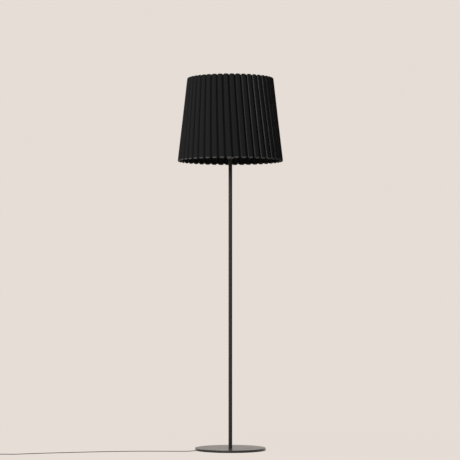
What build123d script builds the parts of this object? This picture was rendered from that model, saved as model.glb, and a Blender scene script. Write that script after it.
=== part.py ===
from build123d import *
from math import atan2, cos, degrees, hypot, pi, radians, sin, sqrt, tan
import os

os.makedirs("parts", exist_ok=True)

# A free-standing floor lamp with a pleated cone shade, in millimetres. The origin is the
# centre of the base on the floor, +Z is up, +X is the photograph's right and +Y is away
# from the viewer.

# Whole lamp
lamp_height = 1600.0
shade_height = 357.0

# Round base plate on its feet
base_diameter = 304.0
base_thickness = 8.0
base_top_round = 0.9
base_bottom_chamfer = 0.6
foot_height = 2.5
foot_diameter = 22.0
foot_count = 6
foot_circle_diameter = 264.0
recess_depth = 5.0
recess_clearance = 3.5
channel_depth = 4.2
channel_side_clearance = 1.5

# Two-core flat cord
cord_width = 5.0
cord_thickness = 3.0
cord_exit_angle = 207.0
cord_bend_under_pole = 6.0
cord_centre_under_base = 4.2
cord_floor_clearance = 0.05
bend_share = 0.45

# Hollow threads that join the base, the pole and the lampholder
thread_diameter = 10.0
thread_clearance = 0.05
thread_bore_clearance = 1.2
screw_head_diameter = 27.0
screw_head_thickness = 2.0
screw_reach = 14.0
joint_nipple_length = 26.0
holder_nipple_reach_down = 13.0
holder_nipple_reach_up = 7.0
sheath_end_above_nipple = 3.0

# Pole of three tubes
pole_diameter = 16.0
pole_wall = 1.2
pole_edge_chamfer = 0.25
insert_length = 16.0
insert_clearance = 0.05
pole_section_names = ["pole_lower", "pole_middle", "pole_upper"]

# Cord clamp under the base
clamp_distance = 62.0
clamp_length = 10.0
clamp_width = 27.0
clamp_thickness = 1.0
clamp_corner_radius = 2.0
clamp_screw_spacing = 19.0
clamp_screw_diameter = 3.0
clamp_screw_head_diameter = 5.6
clamp_screw_head_height = 0.9
clamp_screw_depth = 4.5
clamp_hole_clearance = 0.1
grommet_length = 7.0
grommet_clearance = 0.05

# Lampholder for a large screw cap
fitter_recess = 45.0
cap_height = 26.0
cap_diameter = 40.5
cap_neck_diameter = 19.0
cap_wall = 2.0
cap_floor = 3.0
holder_nut_flats = 14.0
holder_nut_height = 3.0
skirt_diameter = 39.5
skirt_wall = 2.0
skirt_height_above_shoulder = 30.0
skirt_height_below_shoulder = 8.0
skirt_spigot_height = 6.0
shoulder_diameter = 48.0
shoulder_thickness = 2.5
ledge_thickness = 2.0
ledge_width = 2.6
core_height = 28.0
core_wall = 3.1
core_floor = 8.0
screw_shell_diameter = 28.4
screw_shell_wall = 0.4
screw_shell_height = 20.0
contact_width = 6.0
contact_thickness = 0.5
contact_rise = 3.0
contact_end_inset = 4.0
contact_slope_reach = 2.0
contact_slope_overlap = 0.2
contact_pad_reach = 5.0
terminal_diameter = 5.0
terminal_height = 5.0
terminal_offset = 8.0
core_wire_diameter = 2.0
wire_bend_radius = 3.0
wire_tail = 4.0

# Threaded ring that clamps the shade on the lampholder
clamp_ring_height = 9.0
clamp_ring_diameter = 56.0
clamp_ring_clearance = 0.3
grip_count = 24
grip_groove_diameter = 2.4
running_gap = 0.3

# Lamp bulb
bulb_length = 108.0
bulb_diameter = 60.0
bulb_cap_diameter = 26.4
bulb_cap_height = 19.0
bulb_tip_height = 2.6
bulb_tip_diameter = 9.5
bulb_insulator_height = 3.0
bulb_housing_height = 29.0
bulb_housing_top_diameter = 54.0
bulb_wall = 1.2
bulb_contact_gap = 0.3

# Wire frame of the shade
fitter_ring_diameter = 60.0
fitter_hole_diameter = 42.0
fitter_ring_thickness = 1.2
frame_wire_diameter = 3.5
strut_wire_diameter = 3.0
arm_count = 3
arm_start_angle = 90.0
arm_level_length = 30.0
arm_bend_radius = 18.0
strut_count = 6
strut_start_angle = 60.0
ring_inset = 4.0
frame_gap = 0.3

# Pleated cover: knife pleats whose free folds point clockwise seen from above
shade_bottom_diameter = 452.0
shade_top_diameter = 369.0
pleat_count = 45
pleat_depth = 7.0
pleat_fold_drop = 1.4
pleat_ridge_share = 0.36
pleat_tuck_share = 0.17
pleat_start_angle = -88.3
pleat_twist = 5.0
cover_thickness = 1.0

# Foot switch on the cord
switch_length = 78.0
switch_width = 32.0
switch_corner_radius = 10.0
switch_lower_height = 8.0
switch_upper_height = 11.0
switch_wall = 2.0
switch_top_round = 3.0
switch_bottom_chamfer = 1.0
button_diameter = 22.0
button_clearance = 0.4
button_travel = 2.5
button_proud_when_down = 1.1
button_wall = 1.6
button_flange_width = 1.6
button_flange_thickness = 1.3
button_round = 1.2
spring_diameter = 11.0
spring_wire_diameter = 0.8
spring_turns = 6
spring_seat_height = 2.0
spring_end_gap = 0.1
switch_boss_offset = 28.0
switch_boss_diameter = 6.4
switch_screw_diameter = 2.2
switch_screw_head_diameter = 4.2
switch_screw_head_height = 1.2
switch_screw_reach = 9.0
terminal_block_length = 8.0
terminal_block_width = 6.0
terminal_block_height = 7.0
terminal_block_offset = 18.0

# Tapered strain reliefs on the switch and the plug
boot_length = 22.0
boot_base_width = 11.0
boot_base_thickness = 8.0
boot_tip_wall = 1.1
boot_axis_height = 4.5

# Flat two-pin plug
plug_front_width = 35.0
plug_thickness = 13.7
plug_rear_width = 15.0
plug_rear_thickness = 9.6
plug_waist_width = 31.0
plug_waist_distance = 15.0
plug_body_length = 33.0
plug_boot_length = 25.0
pin_spacing = 18.6
pin_length = 19.0
pin_tip_diameter = 4.0
pin_core_diameter = 3.0
pin_sleeve_diameter = 3.8
pin_sleeve_length = 10.0
pin_clearance = 0.05

# Coil of the spare cord
coil_outer_radius = 36.0
coil_half_turns_in = 5
coil_turn_gap = 0.6
coil_layer_gap = 0.5
coil_straight_end = 5.0
coil_guide_lift = 20.0

# Heights of the stack, from the floor up
base_bottom = foot_height
base_top = base_bottom + base_thickness
shade_bottom = lamp_height - shade_height
fitter_height = shade_bottom + fitter_recess
skirt_bottom = fitter_height - skirt_height_below_shoulder
skirt_top = fitter_height + skirt_height_above_shoulder
cap_bottom = skirt_bottom - cap_height
pole_top = cap_bottom
pole_section_length = (pole_top - base_top) / len(pole_section_names)
fitter_bottom = fitter_height + running_gap
fitter_top = fitter_bottom + fitter_ring_thickness
ring_bottom = fitter_top + running_gap

# Sizes that several pieces share
base_radius = base_diameter / 2
thread_bore = hypot(cord_width, cord_thickness) + thread_bore_clearance
thread_hole_diameter = thread_diameter + 2 * thread_clearance
pole_inner_diameter = pole_diameter - 2 * pole_wall
screw_head_top = base_bottom + recess_depth
screw_head_bottom = screw_head_top - screw_head_thickness
exit_direction = Vector(cos(radians(cord_exit_angle)), sin(radians(cord_exit_angle)), 0)
across_exit = Vector(-exit_direction.Y, exit_direction.X, 0)
cord_floor_height = cord_thickness / 2 + cord_floor_clearance
cord_section_area = (cord_width - cord_thickness) * cord_thickness + pi * cord_thickness**2 / 4


# Route of the cord on the floor, from the rim of the base to the foot switch. The points
# were chosen along the line that the cord takes in the photograph.
rim_exit = exit_direction * base_radius
floor_route = [
    (rim_exit.X, rim_exit.Y, cord_centre_under_base),
    (rim_exit.X - 14.5, rim_exit.Y - 7.4, cord_centre_under_base),
    (-178.0, -83.5, 1.8),
    (-232.0, -80.0, cord_floor_height),
    (-300.0, -74.5, cord_floor_height),
    (-366.0, -73.0, cord_floor_height),
    (-430.0, -77.5, cord_floor_height),
    (-492.0, -88.5, cord_floor_height),
    (-556.0, -102.5, cord_floor_height),
    (-620.0, -120.0, cord_floor_height),
    (-684.0, -139.5, cord_floor_height),
    (-746.0, -160.0, cord_floor_height),
    (-808.0, -183.0, cord_floor_height),
    (-868.0, -208.0, cord_floor_height),
    (-912.0, -230.5, cord_floor_height),
    (-948.0, -250.5, boot_axis_height),
    (-966.0, -260.9, boot_axis_height),
]

# The foot switch, the coil and the plug are set out along the end of that route
boot_tip = Vector(*floor_route[-1])
switch_heading = (boot_tip - Vector(*floor_route[-2])).normalized()
heading_right = Vector(switch_heading.Y, -switch_heading.X, 0)
switch_centre = boot_tip + switch_heading * (boot_length + switch_length / 2)
far_boot_tip = switch_centre + switch_heading * (switch_length / 2 + boot_length)
lead_drop = Vector(0, 0, cord_floor_height - boot_axis_height)
switch_lead_route = [
    far_boot_tip,
    far_boot_tip + switch_heading * 16.0,
    far_boot_tip + switch_heading * 44.0 + lead_drop,
    far_boot_tip + switch_heading * 62.0 + lead_drop,
]
coil_start = switch_lead_route[-1]
coil_pitch = cord_width + coil_turn_gap
coil_layer_rise = cord_thickness + coil_layer_gap
coil_radii = [coil_outer_radius - turn * coil_pitch / 2 for turn in range(coil_half_turns_in + 1)]
coil_radii += coil_radii[-2::-1]
coil_width = 2 * sum(radius * (-1) ** turn for turn, radius in enumerate(coil_radii))
coil_first_turn = coil_start + switch_heading * coil_straight_end
coil_end = coil_start + heading_right * coil_width + Vector(0, 0, coil_layer_rise)
plug_axis_height = plug_thickness / 2
to_floor = Vector(0, 0, cord_floor_height - coil_end.Z)
to_plug_axis = Vector(0, 0, plug_axis_height - coil_end.Z)
plug_lead_route = [
    coil_end,
    coil_end - switch_heading * 12.0,
    coil_end - switch_heading * 34.0 + to_floor,
    coil_end - switch_heading * 52.0 + to_floor,
    coil_end - switch_heading * 84.0 + to_plug_axis,
    coil_end - switch_heading * 98.0 + to_plug_axis,
]
plug_boot_tip = plug_lead_route[-1]


def bend_radii(route):
    """The largest tidy bend radius at each inner point of a cord's route."""
    radii = []
    for before, corner, after in zip(route, route[1:], route[2:]):
        arriving = Vector(*corner) - Vector(*before)
        leaving = Vector(*after) - Vector(*corner)
        half_turn = radians(arriving.get_angle(leaving)) / 2
        radii.append(bend_share * min(arriving.length, leaving.length) / tan(half_turn))
    return radii


def cord_plane(start, heading):
    """A plane square to the cord, with its x axis level, so that the cord lies flat."""
    level = Vector(-heading.Y, heading.X, 0).normalized()
    return Plane(origin=start, x_dir=level, z_dir=heading)


def report_cord(name, solid, length, radii):
    """Prints a cord's length, its volume against section times length, and its bends."""
    expected = cord_section_area * length
    print(f"{name}: {length:.0f} mm long, volume {solid.volume:.0f}, expected {expected:.0f}")
    print(f"{name}: bend radii " + ", ".join(f"{radius:.0f}" for radius in radii))


# Base plate: turned steel disc, recessed below for the hollow screw and channelled to the
# rim for the cord
channel_width = cord_width + 2 * channel_side_clearance
channel_plane = Plane(origin=(0, 0, base_bottom), x_dir=exit_direction, z_dir=(0, 0, 1))
recess_radius = screw_head_diameter / 2 + recess_clearance
with BuildPart() as base_plate:
    with BuildSketch(Plane.XY.offset(base_bottom)):
        Circle(base_radius)
    extrude(amount=base_thickness)
    fillet(base_plate.edges().group_by(Axis.Z)[-1], radius=base_top_round)
    chamfer(base_plate.edges().group_by(Axis.Z)[0], length=base_bottom_chamfer)
    with BuildSketch(Plane.XY.offset(base_bottom)):
        Circle(recess_radius)
    extrude(amount=recess_depth, mode=Mode.SUBTRACT)
    with BuildSketch(Plane.XY.offset(base_bottom)):
        Circle(thread_hole_diameter / 2)
    extrude(amount=base_thickness, mode=Mode.SUBTRACT)
    with BuildSketch(channel_plane):
        with Locations((base_radius / 2 + base_top_round, 0)):
            Rectangle(base_radius + 2 * base_top_round, channel_width)
    extrude(amount=channel_depth, mode=Mode.SUBTRACT)
    with BuildSketch(channel_plane):
        with Locations((clamp_distance, 0)):
            with GridLocations(1, clamp_screw_spacing, 1, 2):
                Circle(clamp_screw_diameter / 2 + clamp_hole_clearance / 2)
    extrude(amount=clamp_screw_depth + clamp_hole_clearance, mode=Mode.SUBTRACT)
base_plate.part.label = "base_plate"
export_step(base_plate.part, "parts/base_plate.step")

# Feet: stick-on rubber pads in a ring under the plate
with BuildPart() as base_feet:
    with BuildSketch():
        with PolarLocations(foot_circle_diameter / 2, foot_count):
            Circle(foot_diameter / 2)
    extrude(amount=foot_height)
base_feet.part.label = "base_feet"
export_step(base_feet.part, "parts/base_feet.step")

# Hollow screw: holds the pole down on the plate, and its head is slotted for the cord
with BuildPart() as base_screw:
    with BuildSketch(Plane.XY.offset(screw_head_bottom)):
        Circle(screw_head_diameter / 2)
    extrude(amount=screw_head_thickness)
    with BuildSketch(Plane.XY.offset(screw_head_top)):
        Circle(thread_diameter / 2)
    extrude(amount=base_top + screw_reach - screw_head_top)
    with BuildSketch(Plane.XY.offset(screw_head_bottom)):
        Circle(thread_bore / 2)
    extrude(amount=base_top + screw_reach - screw_head_bottom, mode=Mode.SUBTRACT)
    with BuildSketch(channel_plane.offset(screw_head_bottom - base_bottom)):
        with Locations((screw_head_diameter / 2, 0)):
            Rectangle(screw_head_diameter, thread_bore)
    extrude(amount=screw_head_thickness, mode=Mode.SUBTRACT)
base_screw.part.label = "base_screw"
export_step(base_screw.part, "parts/base_screw.step")

# Cord clamp: nylon strap across the channel, so that a pull never reaches the pole
with BuildPart() as cord_clamp:
    with BuildSketch(channel_plane.offset(-clamp_thickness)):
        with Locations((clamp_distance, 0)):
            RectangleRounded(clamp_length, clamp_width, clamp_corner_radius)
            with GridLocations(1, clamp_screw_spacing, 1, 2):
                Circle(clamp_screw_diameter / 2 + clamp_hole_clearance, mode=Mode.SUBTRACT)
    extrude(amount=clamp_thickness)
cord_clamp.part.label = "cord_clamp"
export_step(cord_clamp.part, "parts/cord_clamp.step")

# Clamp screws: two low heads under the strap, well above the floor
with BuildPart() as cord_clamp_screws:
    with BuildSketch(channel_plane.offset(-clamp_thickness - clamp_screw_head_height)):
        with Locations((clamp_distance, 0)):
            with GridLocations(1, clamp_screw_spacing, 1, 2):
                Circle(clamp_screw_head_diameter / 2)
    extrude(amount=clamp_screw_head_height)
    with BuildSketch(channel_plane.offset(-clamp_thickness)):
        with Locations((clamp_distance, 0)):
            with GridLocations(1, clamp_screw_spacing, 1, 2):
                Circle(clamp_screw_diameter / 2)
    extrude(amount=clamp_thickness + clamp_screw_depth)
cord_clamp_screws.part.label = "cord_clamp_screws"
export_step(cord_clamp_screws.part, "parts/cord_clamp_screws.step")

# Rim grommet: rubber block that fills the mouth of the channel round the cord
with BuildPart() as rim_grommet:
    with BuildSketch(channel_plane):
        with Locations((base_radius, 0)):
            Rectangle(2 * grommet_length, channel_width - 2 * grommet_clearance)
        Circle(base_radius - base_bottom_chamfer, mode=Mode.INTERSECT)
    extrude(amount=channel_depth - grommet_clearance)
    grommet_start = exit_direction * (base_radius - 2 * grommet_length)
    with BuildSketch(cord_plane(grommet_start + Vector(0, 0, cord_centre_under_base), exit_direction)):
        SlotOverall(cord_width + 2 * grommet_clearance, cord_thickness + 2 * grommet_clearance)
    extrude(amount=3 * grommet_length, mode=Mode.SUBTRACT)
rim_grommet.part.label = "rim_grommet"
export_step(rim_grommet.part, "parts/rim_grommet.step")

# Pole: three steel tubes of one length, whose ends meet in fine seams
for index, section_name in enumerate(pole_section_names):
    with BuildPart() as pole_section:
        with BuildSketch(Plane.XY.offset(base_top + index * pole_section_length)):
            Circle(pole_diameter / 2)
        extrude(amount=pole_section_length)
        tube_ends = pole_section.faces().filter_by(Axis.Z)
        chamfer(tube_ends.edges(), length=pole_edge_chamfer)
        with BuildSketch(Plane.XY.offset(base_top + index * pole_section_length)):
            Circle(pole_inner_diameter / 2)
        extrude(amount=pole_section_length, mode=Mode.SUBTRACT)
    pole_section.part.label = section_name
    export_step(pole_section.part, f"parts/{section_name}.step")

# Threaded inserts: a steel ring pressed into each end of each tube
with BuildPart() as pole_inserts:
    for index in range(len(pole_section_names)):
        section_bottom = base_top + index * pole_section_length
        section_top = section_bottom + pole_section_length
        for insert_bottom in (section_bottom, section_top - insert_length):
            with BuildSketch(Plane.XY.offset(insert_bottom + insert_clearance)):
                Circle(pole_inner_diameter / 2 - insert_clearance)
                Circle(thread_hole_diameter / 2, mode=Mode.SUBTRACT)
            extrude(amount=insert_length - 2 * insert_clearance)
pole_inserts.part.label = "pole_inserts"
export_step(pole_inserts.part, "parts/pole_inserts.step")

# Joint nipples: short hollow studs that screw two tubes together at each seam
with BuildPart() as joint_nipples:
    for index in range(1, len(pole_section_names)):
        seam_height = base_top + index * pole_section_length
        with BuildSketch(Plane.XY.offset(seam_height - joint_nipple_length / 2)):
            Circle(thread_diameter / 2)
            Circle(thread_bore / 2, mode=Mode.SUBTRACT)
        extrude(amount=joint_nipple_length)
joint_nipples.part.label = "joint_nipples"
export_step(joint_nipples.part, "parts/joint_nipples.step")

# Holder nipple: carries the lampholder on top of the pole
with BuildPart() as holder_nipple:
    with BuildSketch(Plane.XY.offset(pole_top - holder_nipple_reach_down)):
        Circle(thread_diameter / 2)
        Circle(thread_bore / 2, mode=Mode.SUBTRACT)
    extrude(amount=holder_nipple_reach_down + holder_nipple_reach_up)
holder_nipple.part.label = "holder_nipple"
export_step(holder_nipple.part, "parts/holder_nipple.step")

# Inner cord: from the lampholder down through the pole and out along the channel
inner_cord_top = cap_bottom + holder_nipple_reach_up + sheath_end_above_nipple
with BuildPart() as inner_cord:
    with BuildLine() as inner_path:
        FilletPolyline(
            (rim_exit.X, rim_exit.Y, cord_centre_under_base),
            (0, 0, cord_centre_under_base),
            (0, 0, inner_cord_top),
            radius=cord_bend_under_pole,
        )
    with BuildSketch(cord_plane(Vector(*floor_route[0]), -exit_direction)):
        SlotOverall(cord_width, cord_thickness)
    sweep(path=inner_path.wire())
report_cord("inner_cord", inner_cord.part, inner_path.wire().length, [cord_bend_under_pole])
inner_cord.part.label = "inner_cord"
export_step(inner_cord.part, "parts/inner_cord.step")

# Lampholder cap: moulded cup, narrow at the pole and open at the top
cap_top = cap_bottom + cap_height
cap_shoulder = cap_bottom + cap_height / 2
cap_radius = cap_diameter / 2
with BuildPart() as lampholder_cap:
    with BuildSketch(Plane.XZ):
        with BuildLine():
            Polyline(
                (thread_hole_diameter / 2, cap_bottom),
                (cap_neck_diameter / 2, cap_bottom),
                (cap_radius - cap_wall, cap_shoulder - cap_wall),
                (cap_radius, cap_shoulder + cap_wall),
                (cap_radius, cap_top),
                (cap_radius - cap_wall, cap_top),
                (cap_radius - cap_wall, cap_shoulder + cap_wall),
                (cap_neck_diameter / 2, cap_bottom + cap_floor),
                (thread_hole_diameter / 2, cap_bottom + cap_floor),
                close=True,
            )
        make_face()
    revolve(axis=Axis.Z)
lampholder_cap.part.label = "lampholder_cap"
export_step(lampholder_cap.part, "parts/lampholder_cap.step")

# Holder nut: thin hexagon nut that clamps the cap on the nipple
with BuildPart() as holder_nut:
    with BuildSketch(Plane.XY.offset(cap_bottom + cap_floor)):
        RegularPolygon(holder_nut_flats / 2, 6, major_radius=False)
        Circle(thread_hole_diameter / 2, mode=Mode.SUBTRACT)
    extrude(amount=holder_nut_height)
holder_nut.part.label = "holder_nut"
export_step(holder_nut.part, "parts/holder_nut.step")

# Lampholder skirt: threaded outer shell with the shoulder that carries the shade
skirt_radius = skirt_diameter / 2
skirt_inner_radius = skirt_radius - skirt_wall
spigot_radius = cap_radius - cap_wall - thread_clearance
ledge_radius = skirt_inner_radius - ledge_width
with BuildPart() as lampholder_skirt:
    with BuildSketch(Plane.XZ):
        with BuildLine():
            Polyline(
                (ledge_radius, skirt_bottom - skirt_spigot_height),
                (spigot_radius, skirt_bottom - skirt_spigot_height),
                (spigot_radius, skirt_bottom),
                (skirt_radius, skirt_bottom),
                (skirt_radius, fitter_height - shoulder_thickness),
                (shoulder_diameter / 2, fitter_height - shoulder_thickness),
                (shoulder_diameter / 2, fitter_height),
                (skirt_radius, fitter_height),
                (skirt_radius, skirt_top),
                (skirt_inner_radius, skirt_top),
                (skirt_inner_radius, skirt_bottom + ledge_thickness),
                (ledge_radius, skirt_bottom + ledge_thickness),
                close=True,
            )
        make_face()
    revolve(axis=Axis.Z)
lampholder_skirt.part.label = "lampholder_skirt"
export_step(lampholder_skirt.part, "parts/lampholder_skirt.step")

# Lampholder core: insulating cup that holds the screw shell and the contacts
core_bottom = skirt_bottom + ledge_thickness
core_radius = screw_shell_diameter / 2 + thread_clearance + core_wall
core_floor_top = core_bottom + core_floor
with BuildPart() as lampholder_core:
    with BuildSketch(Plane.XY.offset(core_bottom)):
        Circle(core_radius)
    extrude(amount=core_height)
    with BuildSketch(Plane.XY.offset(core_floor_top)):
        Circle(screw_shell_diameter / 2 + thread_clearance)
    extrude(amount=core_height, mode=Mode.SUBTRACT)
lampholder_core.part.label = "lampholder_core"
export_step(lampholder_core.part, "parts/lampholder_core.step")

# Screw shell: thin nickelled sleeve that grips the bulb's cap
with BuildPart() as screw_shell:
    with BuildSketch(Plane.XY.offset(core_floor_top)):
        Circle(screw_shell_diameter / 2)
        Circle(screw_shell_diameter / 2 - screw_shell_wall, mode=Mode.SUBTRACT)
    extrude(amount=screw_shell_height)
screw_shell.part.label = "screw_shell"
export_step(screw_shell.part, "parts/screw_shell.step")

# Centre contact: bent leaf that the bulb's tip presses
contact_reach = screw_shell_diameter / 2 - contact_end_inset
with BuildPart() as centre_contact:
    with BuildSketch(Plane.XZ):
        with BuildLine():
            Polyline(
                (-contact_reach, core_floor_top),
                (-contact_slope_reach, core_floor_top),
                (contact_slope_reach, core_floor_top + contact_rise - contact_thickness),
                (contact_pad_reach, core_floor_top + contact_rise - contact_thickness),
                (contact_pad_reach, core_floor_top + contact_rise),
                (contact_slope_reach - contact_slope_overlap, core_floor_top + contact_rise),
                (-contact_slope_reach - contact_slope_overlap, core_floor_top + contact_thickness),
                (-contact_reach, core_floor_top + contact_thickness),
                close=True,
            )
        make_face()
    extrude(amount=contact_width / 2, both=True)
centre_contact.part.label = "centre_contact"
export_step(centre_contact.part, "parts/centre_contact.step")

# Holder terminals: two brass posts under the core, one for each wire
with BuildPart() as holder_terminals:
    for side in (-1, 1):
        post = across_exit * (side * terminal_offset)
        with BuildSketch(Plane.XY.offset(core_bottom - terminal_height)):
            with Locations((post.X, post.Y)):
                Circle(terminal_diameter / 2)
        extrude(amount=terminal_height)
holder_terminals.part.label = "holder_terminals"
export_step(holder_terminals.part, "parts/holder_terminals.step")

# Live and neutral wires: the two cores, parted from the sheath and run to the terminals
for wire_name, side in (("live_wire", -1), ("neutral_wire", 1)):
    at_cord = across_exit * (side * cord_width / 4)
    at_post = across_exit * (side * terminal_offset)
    wire_bottom = Vector(0, 0, inner_cord_top)
    wire_top = Vector(0, 0, core_bottom - terminal_height)
    with BuildPart() as core_wire:
        with BuildLine() as wire_path:
            FilletPolyline(
                at_cord + wire_bottom,
                at_cord + wire_bottom + Vector(0, 0, wire_tail),
                at_post + wire_top - Vector(0, 0, wire_tail),
                at_post + wire_top,
                radius=wire_bend_radius,
            )
        with BuildSketch(Plane(origin=at_cord + wire_bottom, z_dir=(0, 0, 1))):
            Circle(core_wire_diameter / 2)
        sweep(path=wire_path.wire())
    core_wire.part.label = wire_name
    export_step(core_wire.part, f"parts/{wire_name}.step")

# Shade clamp ring: threaded on the skirt above the fitter ring, with grip grooves
ring_inner_radius = skirt_radius + clamp_ring_clearance
with BuildPart() as shade_clamp_ring:
    with BuildSketch(Plane.XY.offset(ring_bottom)):
        Circle(clamp_ring_diameter / 2)
        with PolarLocations(clamp_ring_diameter / 2, grip_count):
            Circle(grip_groove_diameter / 2, mode=Mode.SUBTRACT)
        Circle(ring_inner_radius, mode=Mode.SUBTRACT)
    extrude(amount=clamp_ring_height)
shade_clamp_ring.part.label = "shade_clamp_ring"
export_step(shade_clamp_ring.part, "parts/shade_clamp_ring.step")

# Bulb cap: rolled screw shell with its insulator's seat
bulb_bottom = core_floor_top + contact_rise + bulb_contact_gap
bulb_shell_bottom = bulb_bottom + bulb_tip_height + bulb_insulator_height
bulb_shell_top = bulb_shell_bottom + bulb_cap_height
bulb_cap_radius = bulb_cap_diameter / 2
with BuildPart() as bulb_cap:
    with BuildSketch(Plane.XY.offset(bulb_shell_bottom)):
        Circle(bulb_cap_radius)
        Circle(bulb_cap_radius - bulb_wall, mode=Mode.SUBTRACT)
    extrude(amount=bulb_cap_height)
bulb_cap.part.label = "bulb_cap"
export_step(bulb_cap.part, "parts/bulb_cap.step")

# Bulb insulator: black glass cone between the shell and the tip
with BuildPart() as bulb_insulator:
    with BuildSketch(Plane.XZ):
        with BuildLine():
            Polyline(
                (0, bulb_bottom + bulb_tip_height),
                (bulb_tip_diameter / 2, bulb_bottom + bulb_tip_height),
                (bulb_cap_radius, bulb_shell_bottom),
                (0, bulb_shell_bottom),
                close=True,
            )
        make_face()
    revolve(axis=Axis.Z)
bulb_insulator.part.label = "bulb_insulator"
export_step(bulb_insulator.part, "parts/bulb_insulator.step")

# Bulb tip: soldered contact at the very bottom
with BuildPart() as bulb_tip:
    with BuildSketch(Plane.XY.offset(bulb_bottom)):
        Circle(bulb_tip_diameter / 2)
    extrude(amount=bulb_tip_height)
    fillet(bulb_tip.edges().group_by(Axis.Z)[0], radius=bulb_tip_height / 2)
bulb_tip.part.label = "bulb_tip"
export_step(bulb_tip.part, "parts/bulb_tip.step")

# Bulb housing: white plastic cone that holds the light source
housing_top = bulb_shell_top + bulb_housing_height
housing_top_radius = bulb_housing_top_diameter / 2
with BuildPart() as bulb_housing:
    with BuildSketch(Plane.XZ):
        with BuildLine():
            Polyline(
                (bulb_cap_radius - bulb_wall, bulb_shell_top),
                (bulb_cap_radius + bulb_wall, bulb_shell_top),
                (bulb_cap_radius + 2 * bulb_wall, bulb_shell_top + bulb_housing_height / 4),
                (housing_top_radius, housing_top),
                (housing_top_radius - bulb_wall, housing_top),
                (bulb_cap_radius + bulb_wall, bulb_shell_top + bulb_housing_height / 4),
                close=True,
            )
        make_face()
    revolve(axis=Axis.Z)
bulb_housing.part.label = "bulb_housing"
export_step(bulb_housing.part, "parts/bulb_housing.step")

# Bulb globe: thin opal dome on the housing
globe_top = bulb_bottom + bulb_length
globe_height = globe_top - housing_top
globe_middle = housing_top + globe_height - bulb_diameter / 2
with BuildPart() as bulb_globe:
    with BuildSketch(Plane.XZ):
        with BuildLine():
            outer_flank = Line((housing_top_radius, housing_top), (bulb_diameter / 2, globe_middle))
            outer_dome = RadiusArc(outer_flank @ 1, (0, globe_top), -bulb_diameter / 2)
            crown = Line(outer_dome @ 1, (0, globe_top - bulb_wall))
            inner_dome = RadiusArc(
                crown @ 1, (bulb_diameter / 2 - bulb_wall, globe_middle), bulb_diameter / 2 - bulb_wall
            )
            inner_flank = Line(inner_dome @ 1, (housing_top_radius - bulb_wall, housing_top))
            Line(inner_flank @ 1, outer_flank @ 0)
        make_face()
    revolve(axis=Axis.Z)
bulb_globe.part.label = "bulb_globe"
export_step(bulb_globe.part, "parts/bulb_globe.step")


def cover_radius(height):
    """Radius of the cover's outermost folds at a height above the floor."""
    share = (height - shade_bottom) / shade_height
    return (shade_bottom_diameter * (1 - share) + shade_top_diameter * share) / 2


def pleat_points(height):
    """One turn of knife pleats: each has its free fold, its ridge and its tucked fold."""
    radius = cover_radius(height)
    twist_share = (shade_bottom + shade_height / 2 - height) / shade_height
    points = []
    pitch = 360 / pleat_count
    for pleat in range(pleat_count):
        fold_angle = pleat_start_angle + pleat_twist * twist_share + pleat * pitch
        for share, drop in (
            (0, pleat_fold_drop),
            (pleat_ridge_share, 0),
            (1 + pleat_tuck_share, pleat_depth),
        ):
            angle = radians(fold_angle + share * pitch)
            points.append(((radius - drop) * cos(angle), (radius - drop) * sin(angle)))
    return points


def inset_outline(points, depth):
    """The same closed outline, with every face moved in by a depth."""
    inset = []
    for before, corner, after in zip(points[-1:] + points, points, points[1:] + points[:1]):
        arriving = (Vector(*corner) - Vector(*before)).normalized()
        leaving = (Vector(*after) - Vector(*corner)).normalized()
        inward = Vector(-arriving.Y - leaving.Y, arriving.X + leaving.X)
        moved = Vector(*corner) + inward * (depth / (1 + arriving.dot(leaving)))
        inset.append((moved.X, moved.Y))
    return inset


def cover_inner_radius(height):
    """Radius that the cover's tucked folds reach in to at a height above the floor."""
    inner = inset_outline(pleat_points(height), cover_thickness)
    return min(hypot(x, y) for x, y in inner)


# Pleated cover: a ruled cone between the same run of pleats at the bottom and the top,
# where it is turned back by the twist, so that the pleats lean
with BuildPart() as shade_cover:
    for height in (shade_bottom, lamp_height):
        pleats = pleat_points(height)
        with BuildSketch(Plane.XY.offset(height)):
            with BuildLine():
                Polyline(*pleats, close=True)
            make_face()
            with BuildLine():
                Polyline(*inset_outline(pleats, cover_thickness), close=True)
            make_face(mode=Mode.SUBTRACT)
    loft(ruled=True)
shade_cover.part.label = "shade_cover"
export_step(shade_cover.part, "parts/shade_cover.step")

# Frame rings: steel wire hoops inside the hems of the cover
wire_radius = frame_wire_diameter / 2
hoop_inset = frame_gap + wire_radius
bottom_hoop_height = shade_bottom + ring_inset
top_hoop_height = lamp_height - ring_inset
bottom_hoop_radius = cover_inner_radius(bottom_hoop_height) - hoop_inset
top_hoop_radius = cover_inner_radius(top_hoop_height) - hoop_inset
for hoop_name, hoop_radius, hoop_height in (
    ("shade_bottom_ring", bottom_hoop_radius, bottom_hoop_height),
    ("shade_top_ring", top_hoop_radius, top_hoop_height),
):
    with BuildPart() as hoop:
        with BuildSketch(Plane.XZ):
            with Locations((hoop_radius, hoop_height)):
                Circle(wire_radius)
        revolve(axis=Axis.Z)
    hoop.part.label = hoop_name
    export_step(hoop.part, f"parts/{hoop_name}.step")

# Frame struts: straight wires between the two hoops, along the cone
with BuildPart() as shade_struts:
    for index in range(strut_count):
        angle = radians(strut_start_angle + index * 360 / strut_count)
        outward = Vector(cos(angle), sin(angle), 0)
        foot = outward * bottom_hoop_radius + Vector(0, 0, bottom_hoop_height)
        head = outward * top_hoop_radius + Vector(0, 0, top_hoop_height)
        along = (head - foot).normalized()
        weld = wire_radius + frame_gap
        with BuildSketch(Plane(origin=foot + along * weld, z_dir=along)):
            Circle(strut_wire_diameter / 2)
        extrude(amount=(head - foot).length - 2 * weld)
shade_struts.part.label = "shade_struts"
export_step(shade_struts.part, "parts/shade_struts.step")

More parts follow.
